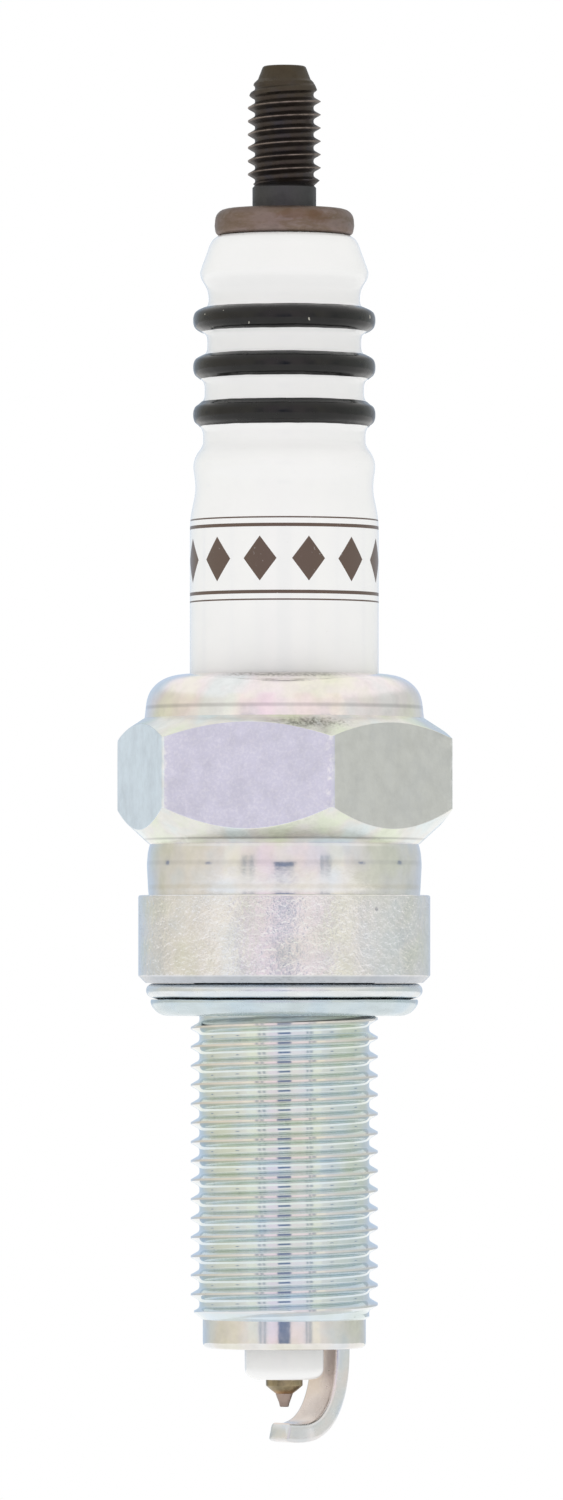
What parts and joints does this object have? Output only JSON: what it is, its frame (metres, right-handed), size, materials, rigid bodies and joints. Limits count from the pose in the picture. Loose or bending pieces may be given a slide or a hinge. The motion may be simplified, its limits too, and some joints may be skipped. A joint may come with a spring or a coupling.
{
  "type": "spark plug",
  "caption": "Small motorcycle spark plug: ribbed white insulator, bare threaded terminal, hexagon shell, captive crush gasket, fine-wire centre electrode and bent ground strap.",
  "frame": {"origin": "on the plug's axis, in the gasket's sealing face, which rests on the cylinder head", "axes": "+Z runs along the plug's axis from the firing end to the terminal; -Y is the side that the main hexagon flat faces, turned 14 degrees from it"},
  "size_m": [0.0176, 0.0176, 0.0724],
  "materials": {
    "terminal_steel": "dark brown-black oxide, satin, worn browner on the flange",
    "porcelain": "white gloss glaze with a plain brown printed ring pattern on the trunk",
    "black_glaze": "black glaze, slightly uneven",
    "seal_glass": "dark fused glass and metal powder",
    "resistor_mix": "dull carbon and glass mix",
    "nickel_alloy": "turned nickel alloy, olive-brown",
    "copper": "bare copper",
    "iridium": "iridium wire with a laser weld at its foot",
    "shell_plating": "bright zinc plating with pale yellow, pink and blue interference tints",
    "packing_steel": "bare steel",
    "talc": "pressed talc powder",
    "gasket_steel": "plated sheet steel, silver-blue",
    "strap_nickel": "drawn nickel alloy strap, satin"
  },
  "bodies": {
    "plug": {"terminal_stud": "terminal_steel", "insulator": "porcelain", "rib_band_upper": "black_glaze", "rib_band_middle": "black_glaze", "rib_band_lower": "black_glaze", "upper_glass_seal": "seal_glass", "resistor": "resistor_mix", "lower_glass_seal": "seal_glass", "center_electrode": "nickel_alloy", "center_electrode_core": "copper", "iridium_tip": "iridium", "metal_shell": "shell_plating", "upper_packing_ring": "packing_steel", "talc_packing": "talc", "lower_packing_ring": "packing_steel", "plate_packing": "packing_steel", "ground_electrode": "strap_nickel"},
    "gasket": {"gasket": "gasket_steel"}
  },
  "joints": [
    {"name": "gasket_spin", "type": "hinge", "parent": "plug", "child": "gasket", "pos_m": [0, 0, 0.00085], "axis": [0, 0, 1], "continuous": true}
  ]
}
